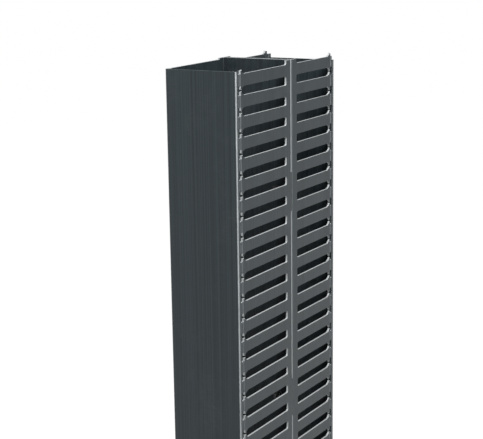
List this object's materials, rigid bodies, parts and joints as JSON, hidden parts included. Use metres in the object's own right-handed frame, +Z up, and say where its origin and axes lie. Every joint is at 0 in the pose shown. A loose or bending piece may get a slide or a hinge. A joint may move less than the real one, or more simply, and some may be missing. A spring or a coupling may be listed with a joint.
{
  "type": "vertical cable manager",
  "caption": "Tall double-sided vertical cable manager: slotted finger ducts back to back on steel rack brackets, closed front and rear by smooth covers that snap over the finger tips.",
  "frame": {"origin": "middle of the footprint (both ducts with covers and the rack flanges), on the floor", "axes": "+Z up along the ducts, -Y the front cover's side, -X the side that bolts to the rack"},
  "size_m": [0.125, 0.256, 2.0193],
  "materials": {
    "duct_pvc": "satin extruded PVC",
    "cover_pvc": "satin extruded PVC with fine lengthwise die lines",
    "bracket_steel": "black powder coat",
    "zinc_steel": "zinc plated"
  },
  "bodies": {
    "ducts": {"front_duct": "duct_pvc", "rear_duct": "duct_pvc", "mounting_bracket_1": "bracket_steel", "mounting_bracket_2": "bracket_steel", "mounting_bracket_3": "bracket_steel", "mounting_bracket_4": "bracket_steel", "mounting_bracket_5": "bracket_steel", "mounting_bracket_6": "bracket_steel", "mounting_bracket_7": "bracket_steel", "bracket_screws_1": "zinc_steel", "bracket_screws_2": "zinc_steel", "bracket_screws_3": "zinc_steel", "bracket_screws_4": "zinc_steel", "bracket_screws_5": "zinc_steel", "bracket_screws_6": "zinc_steel", "bracket_screws_7": "zinc_steel", "bracket_washers_1": "zinc_steel", "bracket_washers_2": "zinc_steel", "bracket_washers_3": "zinc_steel", "bracket_washers_4": "zinc_steel", "bracket_washers_5": "zinc_steel", "bracket_washers_6": "zinc_steel", "bracket_washers_7": "zinc_steel", "bracket_nuts_1": "zinc_steel", "bracket_nuts_2": "zinc_steel", "bracket_nuts_3": "zinc_steel", "bracket_nuts_4": "zinc_steel", "bracket_nuts_5": "zinc_steel", "bracket_nuts_6": "zinc_steel", "bracket_nuts_7": "zinc_steel"},
    "front_cover": {"front_cover": "cover_pvc"},
    "rear_cover": {"rear_cover": "cover_pvc"}
  },
  "joints": [
    {"name": "front_cover_pull", "type": "slide", "parent": "ducts", "child": "front_cover", "axis": [0, -1, 0], "range_m": [0, 0.08]},
    {"name": "rear_cover_pull", "type": "slide", "parent": "ducts", "child": "rear_cover", "axis": [0, 1, 0], "range_m": [0, 0.08]}
  ]
}
